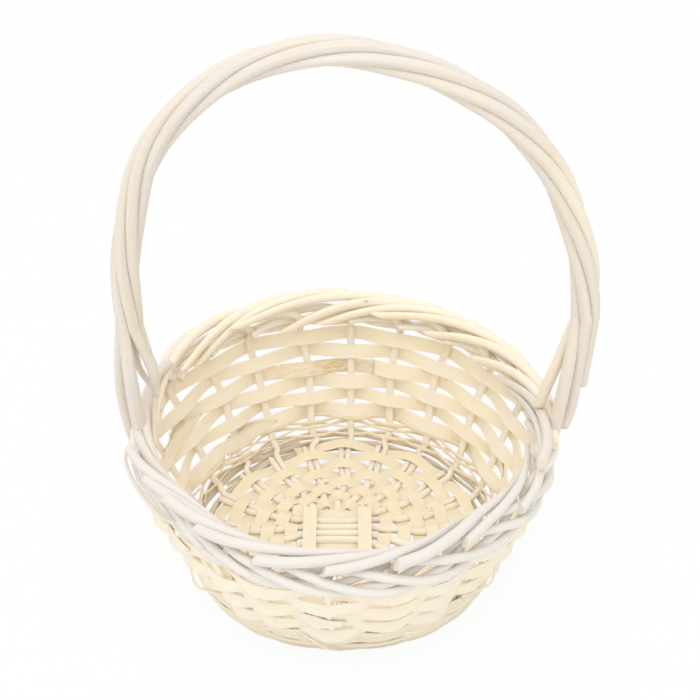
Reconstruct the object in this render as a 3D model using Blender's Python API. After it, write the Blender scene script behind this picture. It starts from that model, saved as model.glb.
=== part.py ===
# Round wicker basket with a fixed roped bow handle, built rod by rod.
# Units are metres, +Z is up, the basket stands on z = 0 and the bow spans X.

import math

import bmesh
import bpy
from mathutils import Vector

# Fit between touching pieces
CLEARANCE = 0.0003

# Round rods: base sticks, stakes, border rods, foot, waling and handle
BASE_STICK_LONG_DIAMETER = 0.0048
BASE_STICK_CROSS_DIAMETER = 0.0036
STAKE_DIAMETER = 0.0040
BORDER_ROD_DIAMETER = 0.0056
FOOT_ROD_DIAMETER = 0.0044
WALING_ROD_DIAMETER = 0.0034
HANDLE_ROD_DIAMETER = 0.0072
HANDLE_TIP_DIAMETER = 0.0050

# Flat splints
STRIP_THICKNESS = 0.0010
SIDE_STRIP_WIDTH = 0.0086
TIE_STRIP_WIDTH = 0.0074

# Basket body
STAKE_COUNT = 22
BASE_RADIUS = 0.0900
WALL_TOP_RADIUS = 0.1208
WALL_BULGE = 0.0010
STAKE_CORNER_BEND = 0.0030
STAKE_TAIL_LENGTH = 0.0190
STAKE_SIDE_STEP = 0.0041

# Base cross and its weaving
LONG_STICK_COUNT = 4
BASE_ROUND_GAP = 0.0012
BASE_EDGE_WIDTH = 0.0098
BASE_WEAVE_INNER_RADIUS = 0.0310
BASE_WEAVER_TURNS = 3
CROSS_LAP_RADIUS = 0.0170
CROSS_LEVEL_RADIUS = 0.0300
TIE_HALF_SIZE = 0.0170
SPOKE_SPLIT_START = 0.0540
SPOKE_SPLIT_END = 0.0660

# Side weaving
SIDE_ROW_COUNT = 6
SIDE_ROW_GAP = 0.0012
WALING_TURNS = 3
WALING_LIFT = 0.0042

# Bow handle
HANDLE_ROD_COUNT = 5
HANDLE_TWIST_STEPS = 9
HANDLE_RISE = 0.2395
HANDLE_SPRING_RISE = 0.0780
HANDLE_LEFT_REACH = 0.1190
HANDLE_RIGHT_REACH = 0.1375
HANDLE_LEFT_TUCK = 0.0015
HANDLE_RIGHT_TUCK = 0.0155
HANDLE_FOOT_SPREAD = 0.0110
HANDLE_BLEND_HEIGHT = 0.0700
HANDLE_OUTER_TIP_DROP = 0.0430
HANDLE_INNER_TIP_DROP = 0.0500

# How much of the bow's length is left straight at each foot, and how square its
# shoulders are: 1 gives a round shoulder, less a squarer one
HANDLE_STRAIGHT_SHARE = 0.08
HANDLE_LEFT_SHOULDER_SHARE = 0.87
HANDLE_RIGHT_SHOULDER_SHARE = 1.05

# Where a weaver's flat runs over a stake, as shares of the stake pitch
STRIP_PLATEAU_SHARES = (-0.30, 0.30)
ROD_PLATEAU_SHARES = (-0.20, 0.20)

# The stake's run in the border: (pitches gone by, outwards, up), the last two as
# shares of one stake lane, measured from the stake at the top of the weave
STAKE_BORDER_SHARES = (
    (0.00, -0.58, 1.20), (0.00, -0.92, 2.40), (0.15, -0.78, 3.75), (0.50, 0.05, 3.85),
    (0.75, 0.53, 3.43), (1.00, 0.90, 2.92), (1.50, 1.37, 1.72), (2.00, 0.92, 0.66),
    (2.50, 0.34, 1.02), (3.00, 0.31, 1.92), (3.50, -0.76, 2.52), (4.00, -2.08, 2.64),
)
# A border rod's run: (share of its length, outwards, up), the last two as shares of
# one border rod lane, measured from the highest point of the stakes' run
BORDER_ROD_SHARES = (
    (0.00, 0.72, 0.47), (0.17, 0.46, 0.95), (0.33, -0.06, 1.31), (0.50, -0.61, 1.42),
    (0.67, -1.16, 1.15), (0.84, -1.58, 0.64), (1.00, -1.78, 0.02),
)
BORDER_ROD_PITCHES = 6
STAKES_PER_BORDER_ROD = 2
STAKE_RUN_TOP_SHARE = 3.72

# Values worked out from the sizes above: the rounds of the base share out the room
# between the cross and the bare edge, and their splint is a gap narrower than that
BASE_ROUND_SPACING = ((BASE_RADIUS - BASE_EDGE_WIDTH - BASE_WEAVE_INNER_RADIUS)
                      / (2 * BASE_WEAVER_TURNS))
BASE_STRIP_WIDTH = BASE_ROUND_SPACING - BASE_ROUND_GAP
PITCH = 2 * math.pi / STAKE_COUNT
STAKE_RADIUS = STAKE_DIAMETER / 2
STRIP_HALF = STRIP_THICKNESS / 2
STAKE_LANE = STAKE_DIAMETER + CLEARANCE
BORDER_LANE = BORDER_ROD_DIAMETER + CLEARANCE
CROSS_STICK_COUNT = STAKE_COUNT // 2 - LONG_STICK_COUNT
FOOT_SIDES = 8
FOOT_CENTRE_Z = FOOT_ROD_DIAMETER / 2 * math.cos(math.pi / FOOT_SIDES)
BASE_LEVEL = FOOT_CENTRE_Z + FOOT_ROD_DIAMETER / 2 + CLEARANCE + STAKE_RADIUS
CROSS_STEP = (BASE_STICK_LONG_DIAMETER + BASE_STICK_CROSS_DIAMETER) / 4 + CLEARANCE / 2
LONG_STICK_PITCH = BASE_STICK_LONG_DIAMETER + 2 * CLEARANCE
CROSS_STICK_PITCH = BASE_STICK_CROSS_DIAMETER + CLEARANCE
PAIR_OFFSET = (STAKE_DIAMETER + BASE_STICK_CROSS_DIAMETER) / 4 + CLEARANCE / 2
BASE_WEAVE_RISE = STAKE_RADIUS + STRIP_HALF + 2 * CLEARANCE
CORNER_TOP_Z = BASE_LEVEL + STAKE_CORNER_BEND + STAKE_RADIUS / 2
WALING_BOTTOM_Z = BASE_LEVEL + BASE_WEAVE_RISE + STRIP_HALF + WALING_ROD_DIAMETER / 2 + CLEARANCE
WALING_TOP_Z = WALING_BOTTOM_Z + WALING_TURNS * WALING_LIFT + WALING_ROD_DIAMETER / 2
WALL_LEAN = math.atan2(WALL_TOP_RADIUS - BASE_RADIUS, SIDE_ROW_COUNT * SIDE_STRIP_WIDTH + WALING_TOP_Z)
SIDE_STRIP_RISE = SIDE_STRIP_WIDTH * math.cos(WALL_LEAN)
SIDE_ROW_PITCH = SIDE_STRIP_RISE + SIDE_ROW_GAP
FIRST_ROW_Z = WALING_TOP_Z + SIDE_ROW_GAP / 2 + SIDE_STRIP_RISE / 2
WEAVE_TOP_Z = FIRST_ROW_Z + (SIDE_ROW_COUNT - 1) * SIDE_ROW_PITCH + SIDE_STRIP_RISE / 2
STAKE_RUN_TOP_Z = WEAVE_TOP_Z + STAKE_RUN_TOP_SHARE * STAKE_LANE
BORDER_TOP_Z = STAKE_RUN_TOP_Z + (BORDER_ROD_SHARES[3][2] + 0.5) * BORDER_LANE
ROPE_RADIUS = (HANDLE_ROD_DIAMETER + 2 * CLEARANCE) / (2 * math.sin(math.pi / HANDLE_ROD_COUNT))

# Finishes: base colour, roughness
PEELED_WHITE = ((0.86, 0.80, 0.72, 1.0), 0.55)
PEELED_CREAM = ((0.84, 0.73, 0.55, 1.0), 0.60)
SPLINT_CREAM = ((0.86, 0.76, 0.56, 1.0), 0.62)
WALING_TAN = ((0.78, 0.64, 0.43, 1.0), 0.65)


# Scene and finishes

def clear_scene():
    for old in list(bpy.data.objects):
        bpy.data.objects.remove(old, do_unlink=True)


def finish(name, look):
    colour, roughness = look
    material = bpy.data.materials.new(name)
    material.use_nodes = True
    shader = material.node_tree.nodes["Principled BSDF"]
    shader.inputs["Base Color"].default_value = colour
    shader.inputs["Roughness"].default_value = roughness
    shader.inputs["Metallic"].default_value = 0.0
    return material


def place(obj, material, frame):
    obj.data.materials.append(material)
    obj.parent = frame
    bpy.context.collection.objects.link(obj)
    return obj


# Rods and splints

def rod(name, points, diameters, roundness, material, frame):
    """A round rod along the points: a bevelled curve with closed ends."""
    curve = bpy.data.curves.new(name, "CURVE")
    curve.dimensions = "3D"
    curve.resolution_u = 1
    curve.render_resolution_u = 0
    curve.bevel_depth = 1.0
    curve.bevel_resolution = roundness
    curve.use_fill_caps = True
    spline = curve.splines.new("POLY")
    spline.points.add(len(points) - 1)
    for spot, point, diameter in zip(spline.points, points, diameters):
        spot.co = (*point, 1.0)
        spot.radius = diameter / 2
    spline.use_smooth = True
    return place(bpy.data.objects.new(name, curve), material, frame)


def loft(name, sections, closed, material, frame):
    """A solid through equal sections, closed on itself or capped at both ends."""
    mesh = bmesh.new()
    rings = [[mesh.verts.new(corner) for corner in section] for section in sections]
    pairs = list(zip(rings, rings[1:]))
    if closed:
        pairs.append((rings[-1], rings[0]))
    for near, far in pairs:
        for i in range(len(near)):
            mesh.faces.new((near[i - 1], near[i], far[i], far[i - 1]))
    if not closed:
        mesh.faces.new(rings[0])
        mesh.faces.new(list(reversed(rings[-1])))
    bmesh.ops.recalc_face_normals(mesh, faces=mesh.faces[:])
    data = bpy.data.meshes.new(name)
    mesh.to_mesh(data)
    mesh.free()
    return place(bpy.data.objects.new(name, data), material, frame)


def strip_section(centre, across, through, width):
    """Four corners of a flat splint: wide along across, thin along through."""
    half_width = across.normalized() * (width / 2)
    half_depth = through.normalized() * STRIP_HALF
    return [centre - half_width - half_depth, centre + half_width - half_depth,
            centre + half_width + half_depth, centre - half_width + half_depth]


# Places on the basket

def polar(radius, angle, z):
    return Vector((radius * math.cos(angle), radius * math.sin(angle), z))


def beside(radius, angle, offset, z):
    """A point at a radius, moved sideways by offset, counter-clockwise."""
    side = Vector((-math.sin(angle), math.cos(angle), 0.0))
    return polar(radius, angle, z) + side * offset


def wall_radius(z):
    """Radius of the stakes' centre lines at a height on the wall."""
    share = (z - CORNER_TOP_Z) / (WEAVE_TOP_Z - CORNER_TOP_Z)
    bulge = WALL_BULGE * math.sin(math.pi * min(max(share, 0.0), 1.0))
    return BASE_RADIUS + (WALL_TOP_RADIUS - BASE_RADIUS) * share + bulge


def spoke_angle(index):
    return (index + 0.5) * PITCH


def stake_angle(index):
    """The stake stands a step to the clockwise side of its spoke."""
    return spoke_angle(index) - STAKE_SIDE_STEP / BASE_RADIUS


def smooth_step(value):
    value = min(max(value, 0.0), 1.0)
    return value * value * (3 - 2 * value)


def sample_shares(table, step_count):
    """Points of a share table, joined by a smooth curve through them."""
    first, last = table[0][0], table[-1][0]
    result = []
    for n in range(step_count + 1):
        at = first + (last - first) * n / step_count
        i = max(k for k in range(len(table) - 1) if table[k][0] <= at or k == 0)
        knots = [table[max(i - 1, 0)], table[i], table[i + 1], table[min(i + 2, len(table) - 1)]]
        u = (at - knots[1][0]) / (knots[2][0] - knots[1][0])
        row = [at]
        for axis in (1, 2):
            a, b, c, d = (knot[axis] for knot in knots)
            row.append(0.5 * (2 * b + (c - a) * u + (2 * a - 5 * b + 4 * c - d) * u ** 2
                              + (3 * b - a - 3 * c + d) * u ** 3))
        result.append(tuple(row))
    return result


# Base cross

def fanned(start, spread, along):
    """Sideways place of a cross stick: side by side at first, then on its ray."""
    return (start ** 4 + (along * math.tan(spread)) ** 4) ** 0.25


def base_stick_point(start, spread, along, level, radius_along):
    """One point of a stick that runs along +X, before it is turned into place."""
    side = fanned(abs(start), abs(spread), abs(along))
    side = math.copysign(side, start) if start else 0.0
    lift = level * (1 - smooth_step((radius_along - CROSS_LAP_RADIUS)
                                    / (CROSS_LEVEL_RADIUS - CROSS_LAP_RADIUS)))
    return Vector((along, side, BASE_LEVEL + lift))


def stick_arm(start, spread, level):
    """Half of a cross stick, from near its middle out to the corner."""
    lap = CROSS_LAP_RADIUS
    points = []
    for reach in (lap * 0.4, lap * 0.8, lap * 1.1, lap * 1.4, CROSS_LEVEL_RADIUS):
        along = reach * math.cos(spread)
        radius = math.hypot(along, fanned(abs(start), abs(spread), along))
        points.append(base_stick_point(start, spread, along, level, radius))
    for radius, offset in ((SPOKE_SPLIT_START, 0.0), (SPOKE_SPLIT_END, PAIR_OFFSET),
                           (BASE_RADIUS - STAKE_CORNER_BEND, PAIR_OFFSET)):
        points.append(beside(radius, spread, offset, BASE_LEVEL))
    return points


def base_stick(name, start, spread, level, diameter, turn, material, frame):
    """A whole stick: one arm, and the far arm mirrored in the stick's middle plane."""
    near = stick_arm(start, spread, level)
    far = stick_arm(-start, -spread, level)
    far = [Vector((-p.x, -p.y, p.z)) for p in far]
    points = list(reversed(far)) + near
    thin = min(diameter, BASE_STICK_CROSS_DIAMETER)
    arm = [diameter] * 3 + [(diameter + thin) / 2] + [thin] * (len(near) - 4)
    diameters = list(reversed(arm)) + arm
    cosine, sine = math.cos(turn), math.sin(turn)
    points = [Vector((p.x * cosine - p.y * sine, p.x * sine + p.y * cosine, p.z)) for p in points]
    return rod(name, points, diameters, 1, material, frame)


def base_cross(material, frame):
    number = 0
    for count, pitch, diameter, level, turn in (
            (LONG_STICK_COUNT, LONG_STICK_PITCH, BASE_STICK_LONG_DIAMETER, CROSS_STEP, 0.0),
            (CROSS_STICK_COUNT, CROSS_STICK_PITCH, BASE_STICK_CROSS_DIAMETER, -CROSS_STEP, math.pi / 2)):
        for i in range(count):
            number += 1
            place_in_row = i - (count - 1) / 2
            base_stick("base_stick_%02d" % number, place_in_row * pitch, place_in_row * PITCH,
                       level, diameter, turn, material, frame)


def tie_strip(material, frame):
    """A square loop of splint over both bundles, higher where it crosses the long sticks."""
    high = BASE_LEVEL + CROSS_STEP + BASE_STICK_LONG_DIAMETER / 2 + CLEARANCE + STRIP_HALF
    low = BASE_LEVEL + BASE_STICK_CROSS_DIAMETER / 2 - CROSS_STEP + 2 * STRIP_THICKNESS + CLEARANCE
    sections = []
    for i in range(24):
        angle = i * math.pi / 12
        cosine, sine = math.cos(angle), math.sin(angle)
        radius = TIE_HALF_SIZE / (cosine ** 4 + sine ** 4) ** 0.25
        tilt = math.atan2(abs(sine), abs(cosine))
        drop = smooth_step((tilt - math.pi / 4) / (math.pi / 9))
        across = Vector((cosine ** 3, sine ** 3, 0.0))
        centre = polar(radius, angle, high + (low - high) * drop)
        sections.append(strip_section(centre, across, Vector((0, 0, 1)), TIE_STRIP_WIDTH))
    return loft("tie_strip", sections, True, material, frame)


def base_weaver(number, material, frame):
    """A splint that winds out over and under the spokes, one of two that chase each other."""
    sections = []
    first = number * (STAKE_COUNT // 2)
    for step in range(BASE_WEAVER_TURNS * STAKE_COUNT):
        index = first + step
        side = 1 if (index + number) % 2 else -1
        for share in STRIP_PLATEAU_SHARES:
            turned = (step + share) / STAKE_COUNT
            radius = BASE_WEAVE_INNER_RADIUS + 2 * BASE_ROUND_SPACING * turned
            angle = spoke_angle(index + share)
            centre = polar(radius, angle, BASE_LEVEL + side * BASE_WEAVE_RISE)
            sections.append(strip_section(centre, polar(1, angle, 0), Vector((0, 0, 1)), BASE_STRIP_WIDTH))
    return loft("base_weaver_%d" % (number + 1), sections, False, material, frame)


# Foot, stakes and side weaving

def foot_rod(material, frame):
    """The ring that the basket stands on, flat underneath."""
    sections = []
    radius = FOOT_ROD_DIAMETER / 2
    for i in range(2 * STAKE_COUNT):
        angle = i * PITCH / 2
        section = []
        for k in range(FOOT_SIDES):
            turn = (k + 0.5) * 2 * math.pi / FOOT_SIDES
            section.append(polar(BASE_RADIUS - STAKE_RADIUS + radius * math.cos(turn), angle,
                                 FOOT_CENTRE_Z + radius * math.sin(turn)))
        sections.append(section)
    for section in sections:
        for corner in section:
            corner.z = max(corner.z, 0.0)
    return loft("foot_rod", sections, True, material, frame)


def stake_points(index):
    """Tail beside the spoke, corner bend, wall, then the long run in the border."""
    angle = stake_angle(index)
    inner = BASE_RADIUS - STAKE_CORNER_BEND
    bend = STAKE_CORNER_BEND
    points = [beside(inner - STAKE_TAIL_LENGTH, spoke_angle(index), -PAIR_OFFSET, BASE_LEVEL),
              beside(inner, spoke_angle(index), -(PAIR_OFFSET + STAKE_SIDE_STEP) / 2, BASE_LEVEL),
              polar(BASE_RADIUS - bend * 0.27, angle, BASE_LEVEL + bend * 0.33)]
    for share in (0.0, 0.33, 0.67, 1.0):
        z = CORNER_TOP_Z + (WEAVE_TOP_Z - CORNER_TOP_Z) * share
        points.append(polar(wall_radius(z), angle, z))
    for pitches, outwards, up in STAKE_BORDER_SHARES[:2]:
        points.append(polar(WALL_TOP_RADIUS + outwards * STAKE_LANE, angle,
                            WEAVE_TOP_Z + up * STAKE_LANE))
    for pitches, outwards, up in sample_shares(STAKE_BORDER_SHARES[2:], 11):
        points.append(polar(WALL_TOP_RADIUS + outwards * STAKE_LANE, angle + pitches * PITCH,
                            WEAVE_TOP_Z + up * STAKE_LANE))
    return points


def stakes(material, frame):
    for index in range(STAKE_COUNT):
        points = stake_points(index)
        diameters = [STAKE_DIAMETER] * len(points)
        rod("stake_%02d" % (index + 1), points, diameters, 1, material, frame)


def chord_rise(radius, share):
    """How far a straight run past a stake would cut inside its circle."""
    return radius * (1 - math.cos(share * PITCH))


def waling_rod(material, frame):
    points = []
    reach = STAKE_RADIUS + WALING_ROD_DIAMETER / 2 + CLEARANCE
    total = WALING_TURNS * STAKE_COUNT
    for step in range(total):
        side = 1 if step % 2 else -1
        for share in ROD_PLATEAU_SHARES:
            z = WALING_BOTTOM_Z + WALING_TURNS * WALING_LIFT * (step + share + 0.5) / total
            radius = wall_radius(z) + side * (reach + chord_rise(BASE_RADIUS, abs(share)))
            points.append(polar(radius, stake_angle(step + share), z))
    return rod("waling_rod", points, [WALING_ROD_DIAMETER] * len(points), 1, material, frame)


def side_weaver(row, material, frame):
    """One wide splint round the side, outside one stake and inside the next."""
    z = FIRST_ROW_Z + row * SIDE_ROW_PITCH
    up_wall = SIDE_STRIP_RISE / 2
    lean = wall_radius(z + up_wall) - wall_radius(z - up_wall)
    reach = STAKE_RADIUS / math.cos(WALL_LEAN) + STRIP_HALF + CLEARANCE
    sections = []
    for index in range(STAKE_COUNT):
        side = -1 if (index + row) % 2 else 1
        for share in STRIP_PLATEAU_SHARES:
            angle = stake_angle(index + share)
            radius = wall_radius(z) + side * (reach + chord_rise(WALL_TOP_RADIUS, abs(share)))
            across = polar(lean, angle, SIDE_STRIP_RISE)
            through = polar(SIDE_STRIP_RISE, angle, -lean)
            sections.append(strip_section(polar(radius, angle, z), across, through, SIDE_STRIP_WIDTH))
    return loft("side_weaver_%d" % (row + 1), sections, True, material, frame)


# Border

def border_rod(number, material, frame):
    """A thick rod from its butt outside, over the rim, to its tip inside."""
    start = stake_angle(number * STAKES_PER_BORDER_ROD)
    points, diameters = [], []
    for share, outwards, up in sample_shares(BORDER_ROD_SHARES, 12):
        points.append(polar(WALL_TOP_RADIUS + outwards * BORDER_LANE,
                            start + share * BORDER_ROD_PITCHES * PITCH,
                            STAKE_RUN_TOP_Z + up * BORDER_LANE))
        diameters.append(BORDER_ROD_DIAMETER)
    return rod("border_rod_%02d" % (number + 1), points, diameters, 1, material, frame)


# Bow handle

def handle_side(x):
    """Reach and tuck of the leg on the side of x, and the shape of its shoulder."""
    if x < 0:
        return HANDLE_LEFT_REACH, HANDLE_LEFT_TUCK, HANDLE_LEFT_SHOULDER_SHARE
    return HANDLE_RIGHT_REACH, HANDLE_RIGHT_TUCK, HANDLE_RIGHT_SHOULDER_SHARE


def handle_centre_line():
    """The bow from the left rim to the right rim: leg, two quarter ellipses, leg."""
    spring = BORDER_TOP_Z + HANDLE_SPRING_RISE
    points = []
    for side in (-1, 1):
        reach, tuck, shoulder = handle_side(side)
        half = []
        for i in range(12):
            up = i / 12
            half.append((side * (reach - tuck * (1 - up) ** 2), BORDER_TOP_Z + HANDLE_SPRING_RISE * up))
        for i in range(25):
            turn = i * math.pi / 48
            half.append((side * reach * abs(math.cos(turn)) ** shoulder,
                         spring + (HANDLE_RISE - HANDLE_SPRING_RISE) * math.sin(turn) ** shoulder))
        points += half if side < 0 else list(reversed(half))[1:]
    return points


def evenly_spaced(points, count):
    """The same line as count points at equal steps, each with its share of the length."""
    lengths = [0.0]
    for a, b in zip(points, points[1:]):
        lengths.append(lengths[-1] + math.dist(a, b))
    result = []
    for n in range(count):
        target = lengths[-1] * n / (count - 1)
        i = max(k for k in range(len(points) - 1) if lengths[k] <= target or k == 0)
        u = (target - lengths[i]) / (lengths[i + 1] - lengths[i])
        x = points[i][0] + (points[i + 1][0] - points[i][0]) * u
        z = points[i][1] + (points[i + 1][1] - points[i][1]) * u
        result.append((x, z, n / (count - 1)))
    return result


def twist_share(share):
    """How much of the twist is done at a share of the bow: none and all near the feet."""
    return min(max((share - HANDLE_STRAIGHT_SHARE) / (1 - 2 * HANDLE_STRAIGHT_SHARE), 0.0), 1.0)


def foot_line(slot):
    """Where a handle rod goes past the border: points (outwards, sideways, z), top down."""
    outside = math.cos(slot * 2 * math.pi / HANDLE_ROD_COUNT) > -0.5
    sideways = math.sin(slot * 2 * math.pi / HANDLE_ROD_COUNT)
    tip = HANDLE_TIP_DIAMETER / 2 + CLEARANCE
    spread = sideways * HANDLE_FOOT_SPREAD / math.sin(2 * math.pi / HANDLE_ROD_COUNT)
    if outside:
        face = WALL_TOP_RADIUS + (STAKE_BORDER_SHARES[6][1] + 0.5) * STAKE_LANE + tip
        end_z = WEAVE_TOP_Z - (HANDLE_OUTER_TIP_DROP - (BORDER_TOP_Z - WEAVE_TOP_Z))
        wall = STAKE_RADIUS / math.cos(WALL_LEAN) + STRIP_THICKNESS + tip + 2 * CLEARANCE
        wall += chord_rise(WALL_TOP_RADIUS, STRIP_PLATEAU_SHARES[1])
        return [(face, spread, BORDER_TOP_Z), (face, spread, WEAVE_TOP_Z + STAKE_LANE),
                (wall_radius(end_z) + wall, spread, end_z)]
    face = WALL_TOP_RADIUS + (BORDER_ROD_SHARES[6][1] - 0.5) * BORDER_LANE - tip
    return [(face, spread, BORDER_TOP_Z), (face, spread, BORDER_TOP_Z - HANDLE_INNER_TIP_DROP)]


def handle_rod_points(number):
    """One rod of the rope, with both feet fanned out over the border."""
    centre = evenly_spaced(handle_centre_line(), 35)
    points = []
    for i, (x, z, share) in enumerate(centre):
        before, after = centre[max(i - 1, 0)], centre[min(i + 1, len(centre) - 1)]
        along = Vector((after[0] - before[0], 0.0, after[1] - before[1])).normalized()
        outward = Vector((-along.z, 0.0, along.x))
        turn = (number - HANDLE_TWIST_STEPS * twist_share(share)) * 2 * math.pi / HANDLE_ROD_COUNT
        rope = Vector((x, 0.0, z)) + outward * (ROPE_RADIUS * math.cos(turn))
        rope.y -= ROPE_RADIUS * math.sin(turn)
        side = 1 if x > 0 else -1
        slot = number - HANDLE_TWIST_STEPS * (1 if x > 0 else 0)
        face, spread, rim_z = foot_line(slot)[0]
        foot = Vector((side * face, -spread, max(rope.z, rim_z)))
        blend = smooth_step(1 - (z - BORDER_TOP_Z) / HANDLE_BLEND_HEIGHT)
        points.append(rope.lerp(foot, blend))
    left = [Vector((-out, -spread, z)) for out, spread, z in foot_line(number)[1:]]
    right = [Vector((out, -spread, z)) for out, spread, z in foot_line(number - HANDLE_TWIST_STEPS)[1:]]
    return list(reversed(left)) + points + right, len(left), len(right)


def handle_rods(material, frame):
    for number in range(HANDLE_ROD_COUNT):
        points, left, right = handle_rod_points(number)
        diameters = []
        for i in range(len(points)):
            from_foot = min(i - left, len(points) - right - 1 - i)
            taper = smooth_step(from_foot / 8)
            diameters.append(HANDLE_TIP_DIAMETER + (HANDLE_ROD_DIAMETER - HANDLE_TIP_DIAMETER) * taper)
        rod("handle_rod_%d" % (number + 1), points, diameters, 2, material, frame)


# Assembly

def centre_on_origin(frame):
    """Moves the basket so that the middle of its outer box lies over the origin."""
    bpy.context.view_layer.update()
    corners = [obj.matrix_world @ Vector(corner) for obj in bpy.data.objects if obj.type != "EMPTY"
               for corner in obj.bound_box]
    frame.location.x = -(min(c.x for c in corners) + max(c.x for c in corners)) / 2
    frame.location.y = -(min(c.y for c in corners) + max(c.y for c in corners)) / 2
    bpy.context.view_layer.update()


def build():
    clear_scene()
    frame = bpy.data.objects.new("basket_axis", None)
    bpy.context.collection.objects.link(frame)
    white = finish("peeled_white_rod", PEELED_WHITE)
    cream = finish("peeled_cream_rod", PEELED_CREAM)
    splint = finish("cream_splint", SPLINT_CREAM)
    tan = finish("tan_waling_rod", WALING_TAN)
    base_cross(cream, frame)
    tie_strip(splint, frame)
    for number in range(2):
        base_weaver(number, splint, frame)
    foot_rod(tan, frame)
    stakes(cream, frame)
    waling_rod(tan, frame)
    for row in range(SIDE_ROW_COUNT):
        side_weaver(row, splint, frame)
    for number in range(STAKE_COUNT // STAKES_PER_BORDER_ROD):
        border_rod(number, white, frame)
    handle_rods(white, frame)
    centre_on_origin(frame)


build()
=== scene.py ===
# %% [markdown]
# # A round splint and willow basket with a roped bow handle
# The basket is a frame of willow rods with flat splints woven through it. A maker lays a
# cross of sticks, weaves the base round it, turns long stakes up at the edge, fills the
# side with wide splints, turns the stakes down into a thick border, and ropes five rods
# into the handle. The pieces are made here in about that order.

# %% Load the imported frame
import math
import random

import bpy
import numpy as np
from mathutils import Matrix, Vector


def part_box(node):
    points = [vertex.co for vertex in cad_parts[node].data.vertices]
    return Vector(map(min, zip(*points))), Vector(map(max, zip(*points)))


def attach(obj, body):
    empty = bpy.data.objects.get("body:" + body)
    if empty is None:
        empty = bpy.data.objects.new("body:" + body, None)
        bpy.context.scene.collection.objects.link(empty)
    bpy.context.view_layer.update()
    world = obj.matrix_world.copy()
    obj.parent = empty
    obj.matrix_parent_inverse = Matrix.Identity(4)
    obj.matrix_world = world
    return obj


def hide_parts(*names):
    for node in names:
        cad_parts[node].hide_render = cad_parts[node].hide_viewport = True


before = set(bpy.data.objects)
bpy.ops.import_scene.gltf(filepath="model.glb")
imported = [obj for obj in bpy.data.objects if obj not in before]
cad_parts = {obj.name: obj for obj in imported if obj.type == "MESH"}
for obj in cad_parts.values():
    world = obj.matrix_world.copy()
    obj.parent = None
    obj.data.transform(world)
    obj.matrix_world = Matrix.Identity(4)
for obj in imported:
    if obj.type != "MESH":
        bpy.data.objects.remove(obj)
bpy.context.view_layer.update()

# %% [markdown]
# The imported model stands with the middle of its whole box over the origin, and the handle
# leans out further on one side. So the axis of the round body isn't at x = 0. The side
# weaving is a ring round that axis, and its box says where the axis is.

# %% The axis and the sizes of the basket
ring_low, ring_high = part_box("side_weaver_1")
AXIS_X = (ring_low[0] + ring_high[0]) / 2
AXIS_Y = (ring_low[1] + ring_high[1]) / 2
STAKE_COUNT = 22
PITCH = 2 * math.pi / STAKE_COUNT
BASE_RADIUS = 0.0900
WALL_TOP_RADIUS = 0.1208
WALL_BULGE = 0.001
CORNER_TOP_Z = 0.01055
WEAVE_TOP_Z = 0.08152
BASE_LEVEL = 0.00653
print("axis at", round(AXIS_X, 5), round(AXIS_Y, 5))

# %% [markdown]
# Willow and splint are never quite straight or even. Each piece gets its small errors from
# one seeded source, so the basket comes out the same each time.

# %% Seeded wobble
def wobble(seed, count, waves):
    """A smooth random line of values from about -1 to 1, one for each point."""
    draw = random.Random(seed)
    along = np.linspace(0, 1, count)
    line = np.zeros(count)
    for wave in range(1, waves + 1):
        swing = draw.uniform(0.4, 1) / wave ** 0.5
        turns = wave * along * draw.uniform(0.6, 1.2) + draw.random()
        line += swing * np.sin(2 * math.pi * turns)
    return line / waves ** 0.5


# %% Places round the axis
# the foot of the basket stands a little to the right of its rim
DRIFT = 0.0018
# the real wall is pressed in a little in two places: the middle and the half width of
# each in degrees, and its depth in metres
DENTS = ((217.0, 15.0, 0.0042), (311.0, 12.0, 0.0040))


def polar(radius, angle, z):
    """A point, or an array of points, at a radius and angle from the axis."""
    radius, angle, z = np.broadcast_arrays(np.float64(radius), np.float64(angle), np.float64(z))
    drift = DRIFT * (1 - ease(z / 0.07))
    for middle, half, depth in DENTS:
        away = (np.mod(np.degrees(angle) - middle + 180, 360) - 180) / half
        radius = radius - depth * np.exp(-away ** 2) * ease(z / 0.05) * ease((radius - 0.09) / 0.01)
    return np.stack([AXIS_X + drift + radius * np.cos(angle), AXIS_Y + radius * np.sin(angle), z], -1)


def towards(angle, lean=math.pi / 2):
    """A direction that leans out from upright by lean, at an angle round the axis."""
    angle, lean = np.broadcast_arrays(np.float64(angle), np.float64(lean))
    return np.stack([np.sin(lean) * np.cos(angle), np.sin(lean) * np.sin(angle), np.cos(lean)], -1)


def spoke_angle(index):
    return (index + 0.5) * PITCH


# how far each stake stands from its even place, in degrees, fitted to the photograph
STAKE_SHIFTS = (0.5, 1.0, 1.7, 2.8, 2.1, -0.4, -2.3, -1.1, -2.8, -1.5, -0.6,
                0.8, 1.0, 1.2, 0.5, -3.0, -1.2, 1.5, 2.2, 1.6, 0.8, -0.4)
# a stake lies this far to the clockwise side of its spoke
STAKE_SIDE_STEP = 0.0041


def even_angle(index):
    """Where a stake would stand if the stakes were evenly spaced."""
    return spoke_angle(index) - STAKE_SIDE_STEP / BASE_RADIUS


def stake_angle(index):
    """Where the stake really stands on the wall."""
    turn = np.mod(index, STAKE_COUNT)
    shift = np.interp(turn, range(STAKE_COUNT + 1), STAKE_SHIFTS + STAKE_SHIFTS[:1])
    return even_angle(index) + np.radians(shift)


def wall_radius(z):
    """The radius of the stakes' middle lines at a height."""
    share = (np.asarray(z, dtype=float) - CORNER_TOP_Z) / (WEAVE_TOP_Z - CORNER_TOP_Z)
    bulge = WALL_BULGE * np.sin(math.pi * np.clip(share, 0, 1))
    return BASE_RADIUS + (WALL_TOP_RADIUS - BASE_RADIUS) * share + bulge


def ease(value):
    """0 below 0, 1 above 1, and a soft step between."""
    value = np.clip(value, 0.0, 1.0)
    return value * value * (3 - 2 * value)


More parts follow.
